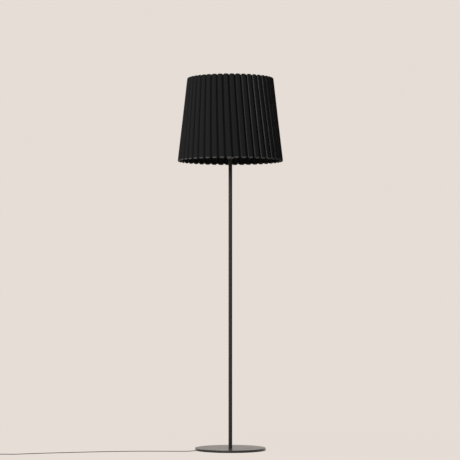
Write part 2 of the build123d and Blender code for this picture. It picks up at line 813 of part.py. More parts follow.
# Fitter ring: flat steel ring that drops over the lampholder on to its shoulder
with BuildPart() as fitter_ring:
    with BuildSketch(Plane.XY.offset(fitter_bottom)):
        Circle(fitter_ring_diameter / 2)
        Circle(fitter_hole_diameter / 2, mode=Mode.SUBTRACT)
    extrude(amount=fitter_ring_thickness)
fitter_ring.part.label = "fitter_ring"
export_step(fitter_ring.part, "parts/fitter_ring.step")

# Fitter arms: bent wires from the fitter ring out and down to the bottom hoop
arm_height = fitter_bottom + fitter_ring_thickness / 2
arm_start_radius = fitter_ring_diameter / 2 + frame_gap
arm_knee_radius = arm_start_radius + arm_level_length
arm_slope = atan2(arm_height - bottom_hoop_height, bottom_hoop_radius - arm_knee_radius)
arm_end_radius = bottom_hoop_radius - (wire_radius + frame_gap) * cos(arm_slope)
arm_end_height = bottom_hoop_height + (wire_radius + frame_gap) * sin(arm_slope)
with BuildPart() as fitter_arms:
    for index in range(arm_count):
        angle = radians(arm_start_angle + index * 360 / arm_count)
        outward = Vector(cos(angle), sin(angle), 0)
        with BuildLine() as arm_path:
            FilletPolyline(
                outward * arm_start_radius + Vector(0, 0, arm_height),
                outward * arm_knee_radius + Vector(0, 0, arm_height),
                outward * arm_end_radius + Vector(0, 0, arm_end_height),
                radius=arm_bend_radius,
            )
        with BuildSketch(Plane(origin=arm_path.wire() @ 0, z_dir=outward)):
            Circle(wire_radius)
        sweep(path=arm_path.wire())
fitter_arms.part.label = "fitter_arms"
export_step(fitter_arms.part, "parts/fitter_arms.step")

# Floor cord: flat cord from the rim of the base to the foot switch
floor_radii = bend_radii(floor_route)
with BuildPart() as floor_cord:
    with BuildLine() as floor_path:
        FilletPolyline(*floor_route, radius=floor_radii)
    with BuildSketch(cord_plane(floor_path.wire() @ 0, floor_path.wire() % 0)):
        SlotOverall(cord_width, cord_thickness)
    sweep(path=floor_path.wire())
report_cord("floor_cord", floor_cord.part, floor_path.wire().length, floor_radii)
floor_cord.part.label = "floor_cord"
export_step(floor_cord.part, "parts/floor_cord.step")

# Foot switch, lower case: shallow tray with the spring's seat and two screw bosses
switch_plane = Plane(
    origin=(switch_centre.X, switch_centre.Y, 0), x_dir=switch_heading, z_dir=(0, 0, 1)
)
switch_split = switch_lower_height
switch_top = switch_lower_height + switch_upper_height
inner_corner_radius = switch_corner_radius - switch_wall
with BuildPart() as switch_lower_case:
    with BuildSketch(switch_plane):
        RectangleRounded(switch_length, switch_width, switch_corner_radius)
    extrude(amount=switch_lower_height)
    chamfer(switch_lower_case.faces().sort_by(Axis.Z)[0].edges(), length=switch_bottom_chamfer)
    with BuildSketch(switch_plane.offset(switch_wall)):
        RectangleRounded(
            switch_length - 2 * switch_wall, switch_width - 2 * switch_wall, inner_corner_radius
        )
    extrude(amount=switch_lower_height, mode=Mode.SUBTRACT)
    with BuildSketch(switch_plane.offset(switch_wall)):
        with GridLocations(2 * switch_boss_offset, 1, 2, 1):
            Circle(switch_boss_diameter / 2)
    extrude(amount=switch_lower_height - switch_wall)
    with BuildSketch(switch_plane.offset(switch_wall)):
        Circle(spring_diameter / 2 + spring_wire_diameter)
    extrude(amount=spring_seat_height)
    with BuildSketch(switch_plane):
        with GridLocations(2 * switch_boss_offset, 1, 2, 1):
            Circle(switch_screw_diameter / 2 + thread_clearance)
    extrude(amount=switch_lower_height, mode=Mode.SUBTRACT)
    with BuildSketch(switch_plane):
        with GridLocations(2 * switch_boss_offset, 1, 2, 1):
            Circle(switch_screw_head_diameter / 2 + thread_clearance)
    extrude(amount=2 * switch_screw_head_height, mode=Mode.SUBTRACT)
switch_lower_case.part.label = "switch_lower_case"
export_step(switch_lower_case.part, "parts/switch_lower_case.step")

# Foot switch, upper case: the cover with the round hole that guides the button
with BuildPart() as switch_upper_case:
    with BuildSketch(switch_plane.offset(switch_split)):
        RectangleRounded(switch_length, switch_width, switch_corner_radius)
    extrude(amount=switch_upper_height)
    fillet(switch_upper_case.faces().sort_by(Axis.Z)[-1].edges(), radius=switch_top_round)
    with BuildSketch(switch_plane.offset(switch_split)):
        RectangleRounded(
            switch_length - 2 * switch_wall, switch_width - 2 * switch_wall, inner_corner_radius
        )
    extrude(amount=switch_upper_height - switch_wall, mode=Mode.SUBTRACT)
    with BuildSketch(switch_plane.offset(switch_split)):
        with GridLocations(2 * switch_boss_offset, 1, 2, 1):
            Circle(switch_boss_diameter / 2)
            Circle(switch_screw_diameter / 2 + thread_clearance, mode=Mode.SUBTRACT)
    extrude(amount=switch_upper_height - switch_wall)
    with BuildSketch(switch_plane.offset(switch_split)):
        Circle(button_diameter / 2 + button_clearance)
    extrude(amount=switch_upper_height, mode=Mode.SUBTRACT)
switch_upper_case.part.label = "switch_upper_case"
export_step(switch_upper_case.part, "parts/switch_upper_case.step")

# Push button: a cup, mouth down, with a flange that stops it inside the cover
flange_top = switch_top - switch_wall - running_gap
flange_bottom = flange_top - button_flange_thickness
button_top = switch_top + button_travel + button_proud_when_down
button_ceiling = button_top - button_wall
with BuildPart() as switch_button:
    with BuildSketch(switch_plane.offset(flange_bottom)):
        Circle(button_diameter / 2)
    extrude(amount=button_top - flange_bottom)
    fillet(switch_button.edges().group_by(Axis.Z)[-1], radius=button_round)
    with BuildSketch(switch_plane.offset(flange_bottom)):
        Circle(button_diameter / 2 + button_flange_width)
    extrude(amount=button_flange_thickness)
    with BuildSketch(switch_plane.offset(flange_bottom)):
        Circle(button_diameter / 2 - button_wall)
    extrude(amount=button_ceiling - flange_bottom, mode=Mode.SUBTRACT)
switch_button.part.label = "switch_button"
export_step(switch_button.part, "parts/switch_button.step")

# Button spring: steel coil between the seat and the button's ceiling
spring_bottom = switch_wall + spring_seat_height
spring_height = button_ceiling - spring_bottom - spring_wire_diameter - 2 * spring_end_gap
spring_foot = spring_bottom + spring_wire_diameter / 2 + spring_end_gap
with BuildPart() as button_spring:
    with BuildLine(switch_plane.offset(spring_foot)) as spring_path:
        Helix(spring_height / spring_turns, spring_height, spring_diameter / 2)
    with BuildSketch(Plane(origin=spring_path.wire() @ 0, z_dir=spring_path.wire() % 0)):
        Circle(spring_wire_diameter / 2)
    sweep(path=spring_path.wire(), is_frenet=True)
button_spring.part.label = "button_spring"
export_step(button_spring.part, "parts/button_spring.step")

# Switch terminals: two brass blocks on the tray's floor
with BuildPart() as switch_terminals:
    with BuildSketch(switch_plane.offset(switch_wall)):
        with GridLocations(2 * terminal_block_offset, 1, 2, 1):
            Rectangle(terminal_block_length, terminal_block_width)
    extrude(amount=terminal_block_height)
switch_terminals.part.label = "switch_terminals"
export_step(switch_terminals.part, "parts/switch_terminals.step")

# Switch screws: driven from below through the bosses
with BuildPart() as switch_screws:
    with BuildSketch(switch_plane.offset(switch_screw_head_height)):
        with GridLocations(2 * switch_boss_offset, 1, 2, 1):
            Circle(switch_screw_head_diameter / 2)
    extrude(amount=switch_screw_head_height)
    with BuildSketch(switch_plane.offset(2 * switch_screw_head_height)):
        with GridLocations(2 * switch_boss_offset, 1, 2, 1):
            Circle(switch_screw_diameter / 2)
    extrude(amount=switch_screw_reach)
switch_screws.part.label = "switch_screws"
export_step(switch_screws.part, "parts/switch_screws.step")

# Switch boots: tapered rubber strain reliefs on both ends of the case
boot_tip_width = cord_width + 2 * boot_tip_wall
boot_tip_thickness = cord_thickness + 2 * boot_tip_wall
with BuildPart() as switch_boots:
    for end_heading in (switch_heading, -switch_heading):
        boot_base = switch_centre + end_heading * (switch_length / 2)
        with BuildSketch(cord_plane(boot_base, end_heading)):
            SlotOverall(boot_base_width, boot_base_thickness)
        with BuildSketch(cord_plane(boot_base + end_heading * boot_length, end_heading)):
            SlotOverall(boot_tip_width, boot_tip_thickness)
        loft()
switch_boots.part.label = "switch_boots"
export_step(switch_boots.part, "parts/switch_boots.step")

# Switch lead: from the switch down to the floor and into the coil
switch_lead_radii = bend_radii([tuple(point) for point in switch_lead_route])
with BuildPart() as switch_lead:
    with BuildLine() as switch_lead_path:
        FilletPolyline(*switch_lead_route, radius=switch_lead_radii)
    with BuildSketch(cord_plane(switch_lead_path.wire() @ 0, switch_heading)):
        SlotOverall(cord_width, cord_thickness)
    sweep(path=switch_lead_path.wire())
report_cord("switch_lead", switch_lead.part, switch_lead_path.wire().length, switch_lead_radii)
switch_lead.part.label = "switch_lead"
export_step(switch_lead.part, "parts/switch_lead.step")


def coil_edges(lift):
    """Half turns of the coil: in on the floor, up a layer, and out on top of them."""
    start = coil_first_turn + Vector(0, 0, lift)
    heading = switch_heading
    Line(coil_start + Vector(0, 0, lift), start)
    for turn, radius in enumerate(coil_radii):
        right = Vector(heading.Y, -heading.X, 0)
        climb = coil_layer_rise if turn == coil_half_turns_in else 0
        reach = sqrt(radius**2 + (climb / 2) ** 2)
        middle = start + right * radius + heading * reach + Vector(0, 0, climb / 2)
        end = start + right * (2 * radius) + Vector(0, 0, climb)
        first_quarter = TangentArc(start, middle, tangent=heading)
        TangentArc(middle, end, tangent=first_quarter % 1)
        start = end
        heading = -heading
    Line(start, coil_end + Vector(0, 0, lift))


# Cord coil: the spare cord, wound flat in two layers, as one unbroken length
with BuildPart() as cord_coil:
    with BuildLine() as coil_path:
        coil_edges(0)
    with BuildLine(mode=Mode.PRIVATE) as coil_guide:
        coil_edges(coil_guide_lift)
    with BuildSketch(cord_plane(coil_start, switch_heading)):
        SlotOverall(cord_width, cord_thickness)
    sweep(path=coil_path.wire(), binormal=coil_guide.wire())
report_cord("cord_coil", cord_coil.part, coil_path.wire().length, coil_radii)
cord_coil.part.label = "cord_coil"
export_step(cord_coil.part, "parts/cord_coil.step")


def least_turn_gap(wire, samples_per_turn=48):
    """Least clear distance between two turns of the coil, measured on points of its line."""
    total = len(coil_radii) * samples_per_turn // 2
    points = [wire @ (index / total) for index in range(total + 1)]
    least = coil_outer_radius
    for first in range(total + 1):
        for second in range(first + samples_per_turn // 2, total + 1):
            apart = points[second] - points[first]
            beside = max(hypot(apart.X, apart.Y) - cord_width, 0)
            above = max(abs(apart.Z) - cord_thickness, 0)
            least = min(least, hypot(beside, above))
    return least


print(f"cord_coil: least gap between turns {least_turn_gap(coil_path.wire()):.2f} mm")

# Plug lead: off the coil, along the floor and up into the plug
plug_lead_radii = bend_radii([tuple(point) for point in plug_lead_route])
with BuildPart() as plug_lead:
    with BuildLine() as plug_lead_path:
        FilletPolyline(*plug_lead_route, radius=plug_lead_radii)
    with BuildSketch(cord_plane(plug_lead_path.wire() @ 0, -switch_heading)):
        SlotOverall(cord_width, cord_thickness)
    sweep(path=plug_lead_path.wire())
report_cord("plug_lead", plug_lead.part, plug_lead_path.wire().length, plug_lead_radii)
plug_lead.part.label = "plug_lead"
export_step(plug_lead.part, "parts/plug_lead.step")

# Plug body: flat two-pin plug lying on its side, moulded with its own strain relief
plug_heading = -switch_heading
plug_rear = plug_boot_tip + plug_heading * plug_boot_length
plug_waist = plug_rear + plug_heading * (plug_body_length - plug_waist_distance)
plug_front = plug_rear + plug_heading * plug_body_length
with BuildPart() as plug_body:
    with BuildSketch(cord_plane(plug_rear, plug_heading)):
        SlotOverall(plug_rear_width, plug_rear_thickness)
    with BuildSketch(cord_plane(plug_waist, plug_heading)):
        SlotOverall(plug_waist_width, plug_thickness)
    with BuildSketch(cord_plane(plug_front, plug_heading)):
        SlotOverall(plug_front_width, plug_thickness)
    loft(ruled=True)
    with BuildSketch(cord_plane(plug_boot_tip, plug_heading)):
        SlotOverall(boot_tip_width, boot_tip_thickness)
    with BuildSketch(cord_plane(plug_rear, plug_heading)):
        SlotOverall(plug_rear_width - 2 * boot_tip_wall, plug_rear_thickness - 2 * boot_tip_wall)
    loft()
plug_body.part.label = "plug_body"
export_step(plug_body.part, "parts/plug_body.step")

# Plug pins: turned brass pins with a thinner neck under the sleeves
with BuildPart() as plug_pins:
    with BuildSketch(cord_plane(plug_front, plug_heading)):
        with GridLocations(pin_spacing, 1, 2, 1):
            Circle(pin_core_diameter / 2)
    extrude(amount=pin_sleeve_length)
    with BuildSketch(cord_plane(plug_front + plug_heading * pin_sleeve_length, plug_heading)):
        with GridLocations(pin_spacing, 1, 2, 1):
            Circle(pin_tip_diameter / 2)
    extrude(amount=pin_length - pin_sleeve_length)
plug_pins.part.label = "plug_pins"
export_step(plug_pins.part, "parts/plug_pins.step")

# Pin sleeves: insulating tubes on the necks of the pins
with BuildPart() as pin_sleeves:
    with BuildSketch(cord_plane(plug_front, plug_heading)):
        with GridLocations(pin_spacing, 1, 2, 1):
            Circle(pin_sleeve_diameter / 2)
            Circle(pin_core_diameter / 2 + pin_clearance, mode=Mode.SUBTRACT)
    extrude(amount=pin_sleeve_length)
pin_sleeves.part.label = "pin_sleeves"
export_step(pin_sleeves.part, "parts/pin_sleeves.step")

exposed_lengths = [
    path.wire().length for path in (floor_path, switch_lead_path, coil_path, plug_lead_path)
]
print(f"cord outside the lamp: {sum(exposed_lengths):.0f} mm")
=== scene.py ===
import math

import bmesh
import bpy
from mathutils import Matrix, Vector


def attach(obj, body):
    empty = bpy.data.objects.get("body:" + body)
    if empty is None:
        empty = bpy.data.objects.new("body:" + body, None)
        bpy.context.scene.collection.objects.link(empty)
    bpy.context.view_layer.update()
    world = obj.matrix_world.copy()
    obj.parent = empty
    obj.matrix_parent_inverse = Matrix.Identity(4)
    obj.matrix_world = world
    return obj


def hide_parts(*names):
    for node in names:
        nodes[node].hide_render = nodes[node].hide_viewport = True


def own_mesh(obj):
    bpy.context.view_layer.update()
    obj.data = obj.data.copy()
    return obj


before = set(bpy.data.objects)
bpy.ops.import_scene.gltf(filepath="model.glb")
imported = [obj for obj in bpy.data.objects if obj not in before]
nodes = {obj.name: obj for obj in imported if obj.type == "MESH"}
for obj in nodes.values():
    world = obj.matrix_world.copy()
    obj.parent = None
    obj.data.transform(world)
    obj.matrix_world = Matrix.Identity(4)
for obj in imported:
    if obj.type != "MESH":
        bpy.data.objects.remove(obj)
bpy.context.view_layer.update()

# Camera: level, 0.68 m above the floor and 8.05 m in front of the lamp, which the ellipses
# of the base and of the hems give. The picture is shifted up to take in the whole lamp.
image_pixels = 460
focal_pixels = 1869.0
horizon_row = 293.0
lamp_column = 230.35
camera_height = 0.6763
camera_distance = 8.047
camera_data = bpy.data.cameras.new("camera")
camera_data.sensor_fit = "HORIZONTAL"
camera_data.lens = focal_pixels / image_pixels * camera_data.sensor_width
camera_data.shift_x = (image_pixels / 2 - lamp_column) / image_pixels
camera_data.shift_y = (horizon_row - image_pixels / 2) / image_pixels
camera = bpy.data.objects.new("camera", camera_data)
camera.location = (0, -camera_distance, camera_height)
camera.rotation_euler = (math.pi / 2, 0, 0)
bpy.context.scene.collection.objects.link(camera)
bpy.context.scene.camera = camera
bpy.context.scene.view_settings.view_transform = "Standard"


# Studio: a pale rosy floor that runs into a wall of the same colour, with no line between
# them. Four soft boxes light the lamp, three from the left and the front and one from above.
# The floor takes only a faint shadow, and a dark one where the base stands on it.
studio_color = (0.791, 0.723, 0.672, 1)
floor_half_width = 30.0
shadow_strength = 0.05
shadow_start = 0.3
shadow_reach = 1.6
base_radius = 0.152
contact_inset = 0.004
contact_spill = 0.006


def add_node(tree, kind, inputs=None, **settings):
    """Adds a node to a tree, with its settings, and fills its inputs with values or links."""
    made = tree.nodes.new(kind)
    for setting, value in settings.items():
        setattr(made, setting, value)
    for socket, value in (inputs or {}).items():
        if isinstance(value, bpy.types.NodeSocket):
            tree.links.new(value, made.inputs[socket])
        else:
            made.inputs[socket].default_value = value
    return made


def maths(tree, operation, *values):
    """The result of one Math node on values or sockets."""
    return add_node(tree, "ShaderNodeMath", dict(enumerate(values)), operation=operation).outputs[0]


def add_object(name, data):
    """A new object in the scene, at the origin."""
    made = bpy.data.objects.new(name, data)
    bpy.context.scene.collection.objects.link(made)
    return made


def seen_directly(tree):
    """1 where the camera, a gloss or a glass looks at a surface, and 0 for its light."""
    rays = add_node(tree, "ShaderNodeLightPath").outputs
    mirrored = maths(tree, "MAXIMUM", rays["Is Glossy Ray"], rays["Is Transmission Ray"])
    return maths(tree, "MAXIMUM", rays["Is Camera Ray"], mirrored)


floor_material = bpy.data.materials.new("studio floor")
floor_material.use_nodes = True
floor_tree = floor_material.node_tree
floor_tree.nodes.clear()
floor_place = add_node(floor_tree, "ShaderNodeTexCoord").outputs["Object"]
floor_distance = add_node(
    floor_tree, "ShaderNodeVectorMath", {0: floor_place}, operation="LENGTH"
).outputs["Value"]
near_lamp = add_node(
    floor_tree,
    "ShaderNodeMapRange",
    {
        "Value": floor_distance,
        "From Min": shadow_start,
        "From Max": shadow_reach,
        "To Min": 1,
        "To Max": 0,
    },
    interpolation_type="SMOOTHSTEP",
).outputs["Result"]
seen_floor = seen_directly(floor_tree)
under_base = add_node(
    floor_tree,
    "ShaderNodeMapRange",
    {
        "Value": floor_distance,
        "From Min": base_radius - contact_inset,
        "From Max": base_radius + contact_spill,
        "To Min": 1,
        "To Max": 0,
    },
).outputs["Result"]
faint = maths(floor_tree, "MULTIPLY", near_lamp, shadow_strength)
shadowed = maths(floor_tree, "MAXIMUM", faint, under_base)
glow_share = maths(floor_tree, "MULTIPLY", seen_floor, maths(floor_tree, "SUBTRACT", 1, shadowed))
floor_paper = add_node(floor_tree, "ShaderNodeBsdfDiffuse", {"Color": studio_color})
floor_glow = add_node(floor_tree, "ShaderNodeEmission", {"Color": studio_color, "Strength": 1})
floor_mix = add_node(
    floor_tree,
    "ShaderNodeMixShader",
    {0: glow_share, 1: floor_paper.outputs[0], 2: floor_glow.outputs[0]},
)
add_node(floor_tree, "ShaderNodeOutputMaterial", {"Surface": floor_mix.outputs[0]})

floor_mesh = bpy.data.meshes.new("studio_floor")
floor_corners = [(-1, -1), (1, -1), (1, 1), (-1, 1)]
floor_mesh.from_pydata(
    [(x * floor_half_width, y * floor_half_width, 0) for x, y in floor_corners], [], [range(4)]
)
floor_mesh.materials.append(floor_material)
studio_floor = add_object("studio_floor", floor_mesh)

world_light = 0.05
world = bpy.data.worlds.new("studio")
world.use_nodes = True
bpy.context.scene.world = world
world_tree = world.node_tree
world_tree.nodes.clear()
wall_light = add_node(
    world_tree, "ShaderNodeBackground", {"Color": studio_color, "Strength": world_light}
)
wall_look = add_node(world_tree, "ShaderNodeBackground", {"Color": studio_color, "Strength": 1})
wall_mix = add_node(
    world_tree,
    "ShaderNodeMixShader",
    {0: seen_directly(world_tree), 1: wall_light.outputs[0], 2: wall_look.outputs[0]},
)
add_node(world_tree, "ShaderNodeOutputWorld", {"Surface": wall_mix.outputs[0]})


def soft_lamp(name, place, aim, width, height, power):
    """A rectangular soft box at a place, turned to its aim, of a power in watts."""
    data = bpy.data.lights.new(name, "AREA")
    data.shape = "RECTANGLE"
    data.size = width
    data.size_y = height
    data.energy = power
    lamp = add_object(name, data)
    lamp.location = place
    lamp.rotation_euler = (Vector(aim) - Vector(place)).to_track_quat("-Z", "Y").to_euler()


lamp_aim = (0, 0, 1.2)
soft_lamp("left softbox", (-4.3, 1.9, 2.8), lamp_aim, 1.4, 2.4, 110)
soft_lamp("key softbox", (-3.0, -4.1, 3.0), lamp_aim, 1.4, 1.8, 165)
soft_lamp("front softbox", (-1.7, -4.75, 3.0), lamp_aim, 1.4, 1.8, 175)
soft_lamp("overhead softbox", (0, 0, 4.5), lamp_aim, 3.0, 3.0, 80)


# Cord on the floor: a flat two-core mains cord, 5 by 3 mm, with a smooth black sheath. It
# leaves the base at its rim, drops to the floor and runs in a long bend to the foot switch.
cord_width = 0.0050
cord_thickness = 0.0030
cord_floor_height = 0.00155
floor_route = [
    (-0.135433, -0.069007, 0.0042),
    (-0.149933, -0.076407, 0.0042),
    (-0.1780, -0.0835, 0.0018),
    (-0.2320, -0.0800, cord_floor_height),
    (-0.3000, -0.0745, cord_floor_height),
    (-0.3660, -0.0730, cord_floor_height),
    (-0.4300, -0.0775, cord_floor_height),
    (-0.4920, -0.0885, cord_floor_height),
    (-0.5560, -0.1025, cord_floor_height),
    (-0.6200, -0.1200, cord_floor_height),
    (-0.6840, -0.1395, cord_floor_height),
    (-0.7460, -0.1600, cord_floor_height),
    (-0.8080, -0.1830, cord_floor_height),
    (-0.8680, -0.2080, cord_floor_height),
    (-0.9120, -0.2305, cord_floor_height),
    (-0.9480, -0.2505, 0.0045),
    (-0.9660, -0.2609, 0.0045),
]


def route_line(name, route):
    """The smooth centre line of a cord: points read from the NURBS spline of its route."""
    data = bpy.data.curves.new(name, "CURVE")
    data.dimensions = "3D"
    spline = data.splines.new("NURBS")
    spline.points.add(len(route) - 1)
    for point, place in zip(spline.points, route):
        point.co = (*place, 1)
    spline.order_u = 3
    spline.use_endpoint_u = True
    spline.resolution_u = 8
    line = bpy.data.objects.new(name, data)
    bpy.context.scene.collection.objects.link(line)
    evaluated = line.evaluated_get(bpy.context.evaluated_depsgraph_get())
    points = [vertex.co.copy() for vertex in bpy.data.meshes.new_from_object(evaluated).vertices]
    bpy.data.objects.remove(line)
    return points


def flat_cord(name, points, sides=7):
    """A flat cord along a line: two straight faces and two round edges, closed at its ends."""
    ring = []
    for side in (1, -1):
        for step in range(sides):
            angle = math.pi * (step / (sides - 1) - 0.5)
            across = side * ((cord_width - cord_thickness) + cord_thickness * math.cos(angle)) / 2
            ring.append((across, side * cord_thickness / 2 * math.sin(angle)))
    corners = []
    for index, place in enumerate(points):
        ahead = points[min(index + 1, len(points) - 1)] - points[max(index - 1, 0)]
        level = ahead.cross(Vector((0, 0, 1))).normalized()
        upright = level.cross(ahead).normalized()
        corners += [place + level * across + upright * up for across, up in ring]
    count = len(ring)
    faces = [
        (
            row * count + side,
            row * count + (side + 1) % count,
            (row + 1) * count + (side + 1) % count,
            (row + 1) * count + side,
        )
        for row in range(len(points) - 1)
        for side in range(count)
    ]
    faces.append(tuple(reversed(range(count))))
    faces.append(tuple(range(len(corners) - count, len(corners))))
    mesh = bpy.data.meshes.new(name)
    mesh.from_pydata(corners, [], faces)
    mesh.polygons.foreach_set("use_smooth", [True] * len(mesh.polygons))
    mesh.set_sharp_from_angle(angle=math.radians(50))
    distances = [0.0]
    for before, after in zip(points, points[1:]):
        distances.append(distances[-1] + (after - before).length)
    layer = mesh.uv_layers.new(name="UVMap")
    for polygon in mesh.polygons:
        for loop in polygon.loop_indices:
            vertex = mesh.loops[loop].vertex_index
            layer.data[loop].uv = (distances[vertex // count], ring[vertex % count][0])
    return add_object(name, mesh)


def add_group(name, sockets):
    """A shader group with named number inputs and outputs."""
    tree = bpy.data.node_groups.new(name, "ShaderNodeTree")
    for direction, socket_name in sockets:
        tree.interface.new_socket(socket_name, in_out=direction, socket_type="NodeSocketFloat")
    return tree


# Shared by every moulded, coated, plated or glazed finish: a fine grain to bump it and a
# slow mottle to vary its colour and gloss.
grain_group = add_group(
    "grain",
    [("INPUT", "Grain size"), ("INPUT", "Mottle size"), ("OUTPUT", "Height"), ("OUTPUT", "Mottle")],
)
grain_inputs = add_node(grain_group, "NodeGroupInput").outputs
grain_place = add_node(grain_group, "ShaderNodeTexCoord").outputs["Object"]
fine_noise = add_node(
    grain_group,
    "ShaderNodeTexNoise",
    {
        "Vector": grain_place,
        "Scale": maths(grain_group, "DIVIDE", 1, grain_inputs["Grain size"]),
        "Detail": 2,
    },
)
slow_noise = add_node(
    grain_group,
    "ShaderNodeTexNoise",
    {
        "Vector": grain_place,
        "Scale": maths(grain_group, "DIVIDE", 1, grain_inputs["Mottle size"]),
        "Detail": 3,
    },
)
add_node(
    grain_group,
    "NodeGroupOutput",
    {"Height": fine_noise.outputs["Fac"], "Mottle": slow_noise.outputs["Fac"]},
)


mottle_per_grain = 60
mottle_low = 0.3
mottle_high = 0.7
gloss_spread = 0.08


def grained_material(name, color, roughness, grain_size, depth, variation=0.15, finish=None):
    """A material whose grain, colour and gloss vary as the real finish does."""
    material = bpy.data.materials.new(name)
    material.use_nodes = True
    tree = material.node_tree
    shader = tree.nodes["Principled BSDF"]
    for socket, value in (finish or {}).items():
        shader.inputs[socket].default_value = value
    grain = add_node(tree, "ShaderNodeGroup", node_tree=grain_group)
    grain.inputs["Grain size"].default_value = grain_size
    grain.inputs["Mottle size"].default_value = grain_size * mottle_per_grain
    darker = [channel * (1 - variation) for channel in color]
    lighter = [min(channel * (1 + variation), 1) for channel in color]
    shades = add_node(
        tree,
        "ShaderNodeMix",
        {0: grain.outputs["Mottle"], 6: (*darker, 1), 7: (*lighter, 1)},
        data_type="RGBA",
    )
    gloss = add_node(
        tree,
        "ShaderNodeMapRange",
        {
            "Value": grain.outputs["Mottle"],
            "From Min": mottle_low,
            "From Max": mottle_high,
            "To Min": roughness * (1 - gloss_spread),
            "To Max": min(roughness * (1 + gloss_spread), 1),
        },
    )
    bump = add_node(
        tree,
        "ShaderNodeBump",
        {"Height": grain.outputs["Height"], "Strength": 1, "Distance": depth},
    )
    tree.links.new(shades.outputs[2], shader.inputs["Base Color"])
    tree.links.new(gloss.outputs["Result"], shader.inputs["Roughness"])
    tree.links.new(bump.outputs["Normal"], shader.inputs["Normal"])
    return material


sheath_material = grained_material("cord sheath", (0.022, 0.022, 0.023), 0.42, 0.0006, 0.00002)


def dress(piece, material, body="stand"):
    """Gives a piece its material and the body that it rides on."""
    piece.data.materials.clear()
    piece.data.materials.append(material)
    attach(piece, body)
    return piece


floor_line = route_line("floor_cord_route", floor_route)
floor_cord = dress(flat_cord("floor_cord_sheath", floor_line), sheath_material)
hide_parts("floor_cord")

# Strain reliefs of the foot switch: tapered black rubber boots, moulded with round ribs so
# that they bend with the cord. Their wide ends sit against the ends of the switch's case.
switch_heading = (Vector(floor_route[-1]) - Vector(floor_route[-2])).normalized()
switch_length = 0.078
boot_length = 0.022
boot_base_width = 0.0110
boot_base_thickness = 0.0080
boot_tip_wall = 0.0011
boot_ribs = 7
boot_groove = 0.0006
near_boot_tip = Vector(floor_route[-1])
far_boot_tip = near_boot_tip + switch_heading * (switch_length + 2 * boot_length)


def boot_ring(tip, heading, share, sides):
    """One ring of a boot's corners, at a share of the way from its tip to the case."""
    groove = boot_groove * (1 - math.cos(math.tau * boot_ribs * share))
    width = cord_width + 2 * boot_tip_wall
    width += (boot_base_width - width) * share - groove
    thickness = cord_thickness + 2 * boot_tip_wall
    thickness += (boot_base_thickness - thickness) * share - groove
    level = heading.cross(Vector((0, 0, 1)))
    middle = tip + heading * boot_length * share
    corners = []
    for side in range(sides):
        angle = math.tau * (side + 0.5) / sides
        across = math.copysign((width - thickness) / 2, math.cos(angle))
        across += thickness / 2 * math.cos(angle)
        corners.append(middle + level * across + Vector((0, 0, thickness / 2 * math.sin(angle))))
    return corners


def ribbed_boot(name, tip, heading, rows=85, sides=28):
    """A tapered strain relief with round ribs, from its tip to the case, as a mesh."""
    form = bmesh.new()
    rings = [
        [form.verts.new(corner) for corner in boot_ring(tip, heading, row / (rows - 1), sides)]
        for row in range(rows)
    ]
    for ring, next_ring in zip(rings, rings[1:]):
        for side in range(sides):
            beside = (side + 1) % sides
            form.faces.new((ring[side], ring[beside], next_ring[beside], next_ring[side]))
    form.faces.new(rings[0])
    form.faces.new(rings[-1])
    bmesh.ops.recalc_face_normals(form, faces=form.faces)
    mesh = bpy.data.meshes.new(name)
    form.to_mesh(mesh)
    form.free()
    mesh.polygons.foreach_set("use_smooth", [True] * len(mesh.polygons))
    mesh.set_sharp_from_angle(angle=math.radians(60))
    return add_object(name, mesh)


boot_rubber = grained_material("boot rubber", (0.019, 0.019, 0.019), 0.6, 0.0005, 0.00002)
near_boot = ribbed_boot("near_switch_boot", near_boot_tip, switch_heading)
far_boot = ribbed_boot("far_switch_boot", far_boot_tip, -switch_heading)
for boot in (near_boot, far_boot):
    dress(boot, boot_rubber)
    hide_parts("switch_boots")
switch_pieces = [
    nodes[name]
    for name in (
        "switch_lower_case",
        "switch_upper_case",
        "switch_button",
        "button_spring",
        "switch_terminals",
        "switch_screws",
    )
]
switch_pieces.append(near_boot)


# Cord after the switch: it drops to the floor, winds in and out again in two flat layers,
# which is how the spare length is put away, and runs back beside the coil to the plug.
heading_right = Vector((switch_heading.y, -switch_heading.x, 0))
coil_outer_radius = 0.036
coil_pitch = 0.0056
coil_half_turns_in = 5
coil_layer_rise = 0.0035
coil_straight_end = 0.005
points_per_half_turn = 6
lead_drop = Vector((0, 0, cord_floor_height - far_boot_tip.z))
coil_route = [
    far_boot_tip,
    far_boot_tip + switch_heading * 0.016,
    far_boot_tip + switch_heading * 0.044 + lead_drop,
    far_boot_tip + switch_heading * 0.062 + lead_drop,
]
coil_radii = [
    coil_outer_radius - turn * coil_pitch / 2 for turn in range(coil_half_turns_in + 1)
]
coil_radii += coil_radii[-2::-1]
turn_start = coil_route[-1] + switch_heading * coil_straight_end
turn_heading = switch_heading
turn_step = math.pi / points_per_half_turn
for turn, radius in enumerate(coil_radii):
    turn_right = Vector((turn_heading.y, -turn_heading.x, 0))
    climb = coil_layer_rise if turn == coil_half_turns_in else 0
    point_radius = radius / math.cos(turn_step / 2)
    for step in range(points_per_half_turn):
        angle = (step + 0.5) * turn_step
        coil_route.append(
            turn_start
            + turn_right * (radius - point_radius * math.cos(angle))
            + turn_heading * (point_radius * math.sin(angle))
            + Vector((0, 0, climb * (step + 0.5) / points_per_half_turn))
        )
    turn_start = turn_start + turn_right * (2 * radius) + Vector((0, 0, climb))
    turn_heading = -turn_heading
coil_end = turn_start - switch_heading * coil_straight_end
plug_axis_height = 0.00685
to_floor = Vector((0, 0, cord_floor_height - coil_end.z))
to_plug_axis = Vector((0, 0, plug_axis_height - coil_end.z))
